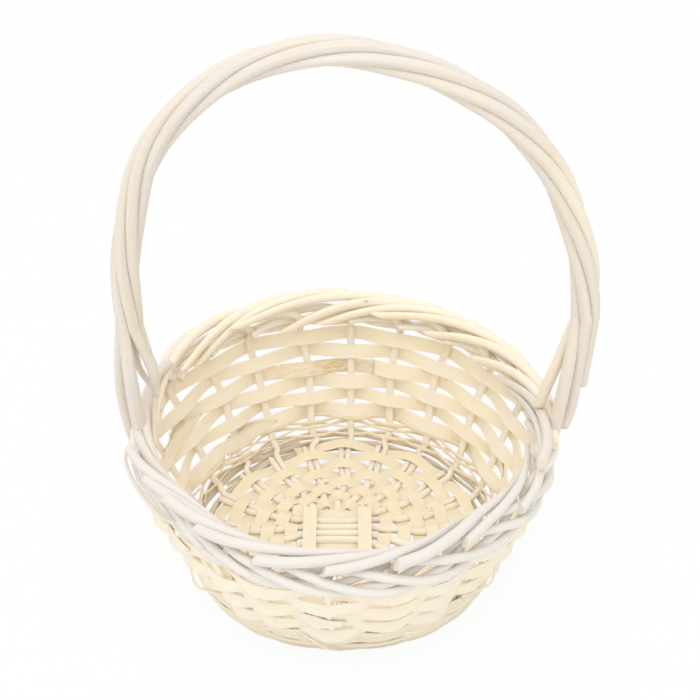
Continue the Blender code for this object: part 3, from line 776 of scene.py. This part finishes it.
# %% Side weaving
# row, height of the middle, width, where the strip starts and how far it goes (degrees)
SIDE_STRIPS = (
    (0, 0.0304, 0.0095, 118.0, 382.0), (1, 0.0392, 0.0088, 12.0, 380.0),
    (2, 0.0482, 0.0100, 250.0, 382.0), (3, 0.0575, 0.0102, 147.0, 300.0),
    (3, 0.0575, 0.0100, 78.0, 92.0), (4, 0.0674, 0.0095, 300.0, 380.0),
    (5, 0.0772, 0.0098, 200.0, 383.0))
# the starts of the two strips whose first part shows inside the stakes, with a dark upper
# edge that is painted shade, and of the short strip with a brown stain
DARK_EDGED_STARTS = (118.0, 147.0)
STAINED_START = 78.0
# a flat strip can't lie on a cone: outside a stake it stands nearly upright, inside one it
# leans out more than the wall does
LEAN_MIDDLE, LEAN_SWING = math.radians(17), math.radians(15)

for number, (row, height, width, start, sweep) in enumerate(SIDE_STRIPS):
    first = (math.radians(start) - even_angle(0)) / PITCH
    pitches = math.radians(sweep) / PITCH
    count = int(pitches * 11)
    at = np.linspace(first, first + pitches, count)
    wave = in_and_out(at, 1 if row % 2 == 0 else -1, 1.1)
    z = height - 0.0009 * wave + 0.0004 * wobble(500 + number, count, 8)
    # the start of a strip lies inside the end that it laps over
    tucked = 1.0 if start in DARK_EDGED_STARTS else 0.32
    lapped = tucked * (1 - ease((at - first - 1.5) / 0.6))
    radius = wall_radius(height) + (0.0003 + 0.0031 * wave) * (1 - lapped) - 0.0034 * lapped
    radius += 0.0003 * wobble(520 + row, count, 7)
    angle = stake_angle(at)
    path = polar(radius, angle, z)
    lean = LEAN_MIDDLE - LEAN_SWING * wave * (1 - 0.7 * lapped)
    across = towards(angle, lean)
    taper = np.ones(count)
    nose = np.linspace(0, 1, 7)
    if start != STAINED_START:
        taper[:7] = 0.15 + 0.85 * nose
    taper[-5:] = 0.25 + 0.75 * nose[::-1][-5:]
    stain_and_shade = None
    if start == STAINED_START:
        turned = np.degrees(angle)
        dark = ease((turned - 86) / 3) * (1 - ease((turned - 93) / 10))
        stain_and_shade = (1 - ease((turned - 106) / 18)) * (0.45 + 0.55 * dark)
    elif start in DARK_EDGED_STARTS:
        # painted shade: a dark line along the upper edge of a tucked-in start, where it lies in shadow inside
        # the end it laps
        stain_and_shade = np.zeros((7, count))
        stain_and_shade[-1] = 1 - ease((at - first - 1.6) / 0.5)
    weaver = splint("side_weaver_splint_%d" % (number + 1), path, across,
                    width * taper * (1 + 0.04 * wave + 0.03 * wobble(540 + row, count, 9)), 560 + 10 * number,
                    stain_and_shade=stain_and_shade)
    fit(weaver, SPLINT, "cream_splint", "side_weaver_%d" % (row + 1))
print(len(SIDE_STRIPS), "side strips")

# %% [markdown]
# ## Waling
# Between the base and the splints is a band of thin tan rods, packed in and out of the
# stakes, and round the outside where the stakes turn up. They are of uneven thickness and
# stray a little. Each is a rod of its own that starts and stops at its own place.

# %% Waling rods
# the heights of the straws in millimetres: three groups with gaps between them, and the
# straws that fill the gaps at the front
WALING_LEVELS = (6.0, 7.2, 8.4, 9.6, 10.8, 12.0, 13.2, 14.4, 15.6, 20.4, 21.3, 24.6, 25.6)
FRONT_LEVELS = (16.2, 16.9, 17.7, 18.5, 19.3, 22.4, 23.3)
draw = random.Random(11)
number = 0
for level in WALING_LEVELS + FRONT_LEVELS:
    first = draw.uniform(0, STAKE_COUNT)
    left = STAKE_COUNT * draw.uniform(0.85, 1.05)
    if level in FRONT_LEVELS:
        first, left = 10.6 + draw.uniform(-0.5, 0.5), 10.2
    while left > 2:
        pitches = min(left, draw.uniform(5, 13))
        left -= pitches
        count = int(pitches * 10)
        at = np.linspace(first, first + pitches, count)
        first += pitches + draw.uniform(-1.2, 0.4)
        number += 1
        thick = draw.uniform(0.0034 if level in FRONT_LEVELS else 0.0022, 0.0042)
        slope = draw.uniform(-0.0018, 0.0018)
        z = 0.001 * level + slope * np.linspace(-1, 1, count) + 0.0003 * wobble(600 + number, count, 3)
        wave = in_and_out(at, 1 if number % 2 else -1, 0.8)
        radius = wall_radius(z) + 0.0004 + wave * (0.0021 + thick / 6)
        radius += 0.0003 * wobble(640 + number, count, 4)
        # beside the edge of the base the straws stay outside the stakes
        low = ease((0.0170 - z) / 0.005)
        radius += low * (0.0932 + 0.25 * (z - 0.008) + 0.0008 * wave - radius)
        ahead = np.mod(np.degrees(stake_angle(at)), 360) - 270
        radius -= 0.0042 * np.exp(-(ahead / 32) ** 2) * ease((0.0125 - z) / 0.005)
        path = polar(radius, stake_angle(at), z)
        taper = thick * (1 - 0.35 * np.linspace(0, 1, count)) * (1 + 0.12 * wobble(680 + number, count, 6))
        wale = rod("waling_thin_rod_%02d" % number, path, taper, 660 + 9 * number, around=8, rough=0.07,
                   flat=0.36, side=(0, 0, 1), tone=draw.uniform(-1, 1.0))
        fit(wale, TAN_ROD, "tan_rod", "waling_rod")
print(number, "waling rods")

# %% [markdown]
# A few straws of the band have sprung out: a small loop at each side, and a sliver that
# lies across the front. They are short rods through a few measured places.

# %% Straws that have sprung out
# angle in degrees, radius and height in millimetres
LOOSE_STRAWS = (
    ("right", 0.0021, ((328, 103, 55), (325.5, 108.5, 50), (323.5, 112, 44), (321.5, 111, 36.5),
                       (318.5, 106, 32), (314.5, 101.5, 29))),
    ("left", 0.0021, ((211, 103, 50), (213.5, 108.5, 45), (215.5, 111.5, 39.5), (217.5, 109.5, 31),
                      (221, 104, 29), (225, 98, 27))),
    ("front", 0.0015, ((254, 98.5, 27.5), (259, 98.6, 21), (264.5, 96.5, 12), (269.5, 92.0, 6.0))))


def line_through(spots, count):
    """A smooth line through places given in degrees and millimetres."""
    return curve_through([polar(0.001 * out, math.radians(turned), 0.001 * z) for turned, out, z in spots],
                         count)


for place, thick, spots in LOOSE_STRAWS:
    straw = rod("waling_loose_straw_" + place, line_through(spots, 36), thick, 900 + len(place), around=8,
                rough=0.05, flat=0.7, tone=1.0)
    fit(straw, TAN_ROD, "tan_rod", "waling_rod")
print(len(LOOSE_STRAWS), "straws that have sprung out")

# %% [markdown]
# ## Border
# On top of the stakes' runs lie the thick white rods of the border, one to each stake.
# Each shows its cut butt outside, climbs over the rim as it tapers, and ends in a slanted
# tip inside, with the next rod laid over it.

# %% Border rods
BORDER_LANE = 0.0056 + GAP
STAKE_RUN_TOP_Z = WEAVE_TOP_Z + 3.72 * STAKE_LANE
# the even line of a border rod: share of its reach, and lanes out and up
BORDER_RUN = ((0.00, 0.74, 0.90), (0.15, 0.52, 1.24), (0.32, 0.00, 1.48), (0.50, -0.61, 1.46),
              (0.67, -1.16, 1.12), (0.84, -1.60, 0.50), (1.00, -1.76, -0.25))
BORDER_PITCHES = 3.15
# where the butts of the real border are: degrees from the even place, and millimetres up
# and out from the even line
BUTTS = {4: (-1.0, 0.5, 0), 5: (0.6, 3.0, 0), 6: (-2.0, 2.2, 0), 7: (1.0, 1.6, 0), 8: (-1.0, 1.2, 0),
         9: (3.0, 8.0, -11.0), 10: (1.6, -3.0, -6.0), 11: (7.0, 4.0, 0), 12: (3.0, 2.0, -1.0),
         13: (-1.8, 6.0, 0), 14: (-4.7, 4.5, 0), 15: (-3.2, 0.5, 0), 16: (-1.4, 0.3, 0),
         17: (0.2, 1.8, 0), 18: (3.7, -1.2, 0), 19: (8.0, -4.0, 0), 20: (4.0, 9.0, -2.0)}
# how far some rods reach in pitches, and how far their tips lie above the even line
TIPS = {0: (3.30, -1.5), 1: (3.33, 4.0), 2: (3.45, -4.0), 3: (3.30, -6.0), 4: (3.50, 9.0)}
draw = random.Random(5)
for index in range(STAKE_COUNT):
    shift, rise, outer = BUTTS.get(index, (draw.uniform(-2, 2), draw.uniform(-1, 1.5), 0.0))
    reach, tip = TIPS.get(index, (BORDER_PITCHES + draw.uniform(-0.35, 0.35), draw.uniform(-4, 4)))
    knots = []
    for share, out, up in BORDER_RUN:
        lift = rise * (1 - share) ** 1.5 + tip * share ** 3
        knots.append(polar(WALL_TOP_RADIUS + out * BORDER_LANE + 0.001 * outer * (1 - share) ** 2,
                           even_angle(index) + math.radians(shift) + share * reach * PITCH,
                           STAKE_RUN_TOP_Z + up * BORDER_LANE + 0.001 * lift))
    path = curve_through(knots, 48)
    share = np.linspace(0, 1, 48)
    big = draw.uniform(0.88, 1.06)
    front = at_front(math.degrees(even_angle(index)) + 25)
    thick = (0.0068 - 0.0017 * share ** 1.3) * big
    # painted light in part: the back of the border is painted lighter and warmer and the front paler and
    # greyer, because the lamp lights the front more than the back; the rest is the rods' own hue
    tone = -2 + 4 * front * (1 - 0.2 * ease((share - 0.6) / 0.4))
    border = rod("border_top_rod_%02d" % (index + 1), path, thick, 2000 + 30 * index, around=14,
                 flat=0.94 - 0.24 * ease((share - 0.4) / 0.5), tone=tone, slants=(0.5, 1.5))
    nodes = ["border_rod_%02d" % (index // 2 + 1)] if index % 2 == 0 else []
    fit(border, WHITE_ROD, "peeled_white_rod", *nodes)
print(STAKE_COUNT, "border rods")

# %% [markdown]
# At the left a thin shoot has sprung out of the border in a long loop.

# %% The loop at the left
LOOP = ((182, 121, 92), (186, 127, 90), (194, 127.6, 93.5), (204, 127.4, 93), (214, 127.2, 91.5),
        (219, 126, 94), (224, 121, 96))
shoot = rod("border_loop_rod", line_through(LOOP, 60), 0.0022, 2900, around=10, rough=0.04, tone=0.5)
fit(shoot, WHITE_ROD, "peeled_white_rod")
print("a loop through", len(LOOP), "places")

# %% [markdown]
# ## Handle
# Five long rods are roped round each other over the bow, and their feet are fanned out
# and driven down beside the border. The line of the bow is a row of places measured on the
# photograph, because the bow is fuller on its right, and each rod turns round it by nine
# fifths of a turn.

# %% Handle
HANDLE_RODS, TWIST_STEPS = 5, 9
HANDLE_THICK = 0.0066
# roped rods press into each other, so they lie closer than round rods could
ROPE_PRESS = 0.88
ROPE_RADIUS = ROPE_PRESS * (HANDLE_THICK + GAP) / (2 * math.sin(math.pi / HANDLE_RODS))
# the middle line of the rope, in millimetres from the axis and from the floor
BOW = ((-119.0, 160), (-119.2, 178), (-119.0, 198), (-116.9, 226), (-110.7, 257.2), (-102.4, 282.2),
       (-90.4, 302.2), (-72.2, 321), (-48.2, 336.8), (-22, 345), (5, 346.2), (32, 340), (58.5, 328.6),
       (84.6, 310.8), (107.6, 284.4), (122.3, 255), (132.2, 224.5), (137, 195), (137.4, 166))
# the feet: outwards, sideways, height in millimetres, and the thickness at the end in metres
LEFT_FEET = (((127.0, 0, 146), (127.8, 0, 122), (124.6, -2, 97), (119.2, -3, 81), 0.0052),
             ((120.2, -9, 144), (118.6, -9.5, 120), (116.8, -8.5, 100), 0.0088),
             ((110.2, -3, 152), (108.2, -3, 144), (107.0, -2, 136), 0.0060),
             ((110.6, 3, 150), (108.4, 3.5, 141), (107.4, 3.5, 131), 0.0058),
             ((118.6, 6.5, 150), (116.8, 7, 137), (112, 6.5, 127), (107.5, 6, 118), 0.0036))
RIGHT_FEET = (((141.2, 0, 150), (139.8, 0, 129), 0.0060),
              ((135.6, -4, 140), (134, -3, 116), (130, -3, 100), 0.0070),
              ((129.3, -9, 148), (126.2, -9, 117), (122.6, -8.5, 88), 0.0080),
              ((123.8, 1, 143), (119.4, 1, 127), (115.6, 1, 112), 0.0066),
              ((136, 8, 145), (131, 9, 118), (126, 9, 92), 0.0066))
bow = curve_through(np.array(BOW) * 0.001, 121)
bow_along = unit(np.gradient(bow, axis=0))
for number in range(HANDLE_RODS):
    turn = (number - TWIST_STEPS * np.linspace(0, 1, 121)) * 2 * math.pi / HANDLE_RODS
    rope = np.stack([bow[:, 0] - bow_along[:, 1] * ROPE_RADIUS * np.cos(turn), -ROPE_RADIUS * np.sin(turn),
                     bow[:, 1] + bow_along[:, 0] * ROPE_RADIUS * np.cos(turn)], -1)
    left = LEFT_FEET[number]
    right = RIGHT_FEET[(number - TWIST_STEPS) % HANDLE_RODS]
    below = np.array([(-out, side, z) for out, side, z in left[:-1]][::-1]) * 0.001
    after = np.array(right[:-1]) * 0.001
    line = np.vstack([below, rope[3:-3], after])
    line[:, 0] += AXIS_X
    line[:, 1] += AXIS_Y
    path = curve_through(line, 260)
    share = np.linspace(0, 1, 260)
    thick = HANDLE_THICK + (left[-1] - HANDLE_THICK) * (1 - ease(share / 0.15)) \
        + (right[-1] - HANDLE_THICK) * (1 - ease((1 - share) / 0.15))
    # the right leg is painted lighter and warmer: painted light on the side that the lamp, at the left,
    # lights less
    tone = (-0.5 if number in (2, 3) else 0.7) - 1.1 * ease((path[:, 0] - 0.09) / 0.03)
    handle = rod("handle_bow_rod_%d" % (number + 1), path, thick, 3000 + 40 * number, around=18,
                 side=(0, 1, 0), rough=0.03, tone=tone, slants=(0.8, 0.8))
    fit(handle, WHITE_ROD, "peeled_white_rod", "handle_rod_%d" % (number + 1))
print(HANDLE_RODS, "handle rods")

# %% [markdown]
# ## Light and floor
# In the photograph the light comes evenly from all sides, as in a tent of white cloth, and
# a little more from above and the front left. A white world gives the even light and one
# large soft lamp gives the rest. The lamp is weak, so that few of the pale rods clip. The
# floor is white to the camera and keeps a faint shadow, because only a part of what the
# camera sees there is its own light.

# %% A white world
world = bpy.data.worlds.new("white tent")
bpy.context.scene.world = world
world.use_nodes = True
nodes, links = world.node_tree.nodes, world.node_tree.links
background = nodes["Background"]
path_kind = nodes.new("ShaderNodeLightPath")
seen = nodes.new("ShaderNodeMath")
seen.operation = "MAXIMUM"
links.new(path_kind.outputs["Is Camera Ray"], seen.inputs[0])
links.new(path_kind.outputs["Is Glossy Ray"], seen.inputs[1])
# the world lights the basket at 0.89 and looks plain white
strength = nodes.new("ShaderNodeMapRange")
strength.inputs[3].default_value, strength.inputs[4].default_value = 0.89, 1.0
links.new(seen.outputs[0], strength.inputs[0])
links.new(strength.outputs[0], background.inputs[1])
background.inputs[0].default_value = (1, 1, 1, 1)
print("world of strength", round(strength.inputs[3].default_value, 2))

# %% One large soft lamp
lamp_data = bpy.data.lights.new("tent lamp", "AREA")
lamp_data.shape, lamp_data.size, lamp_data.energy = "DISK", 2.7, 33.0
lamp = bpy.data.objects.new("tent lamp", lamp_data)
bpy.context.collection.objects.link(lamp)
lamp.location = (-0.38, -1.22, 2.95)
lamp.rotation_euler = (Vector((0, 0, 0.1)) - Vector(lamp.location)).to_track_quat("-Z", "Y").to_euler()
print("lamp of", lamp_data.energy, "W")

# %% A white floor
bpy.ops.object.select_all(action="DESELECT")
bpy.ops.mesh.primitive_grid_add(x_subdivisions=4, y_subdivisions=4, size=14, location=(0, 0, 0))
floor = bpy.context.object
floor.name = "floor"
paper = Recipe("white paper")
paper.shader.inputs["Base Color"].default_value = (0.87, 0.87, 0.87, 1)
paper.shader.inputs["Roughness"].default_value = 0.9
glow = paper.add("ShaderNodeEmission", {"Color": (1, 1, 1, 1), "Strength": 1.0})
lit = paper.add("ShaderNodeLightPath")
looked_at = paper.math("MAXIMUM", lit.outputs["Is Camera Ray"], lit.outputs["Is Glossy Ray"])
share = paper.math("MULTIPLY", looked_at, 0.92)
both = paper.add("ShaderNodeMixShader", {0: share, 1: paper.shader.outputs[0], 2: glow.outputs[0]})
paper.links.new(both.outputs[0], paper.nodes["Material Output"].inputs[0])
floor.data.materials.append(paper.material)

bpy.context.scene.view_settings.view_transform = "Standard"
print("floor of", [round(v, 1) for v in floor.dimensions[:2]], "m")

# %% [markdown]
# ## The end
# The finished basket has to fit the imported model. The last line counts the pieces that
# were made.

# %% The count of pieces, and the end
print(len(made), "pieces")
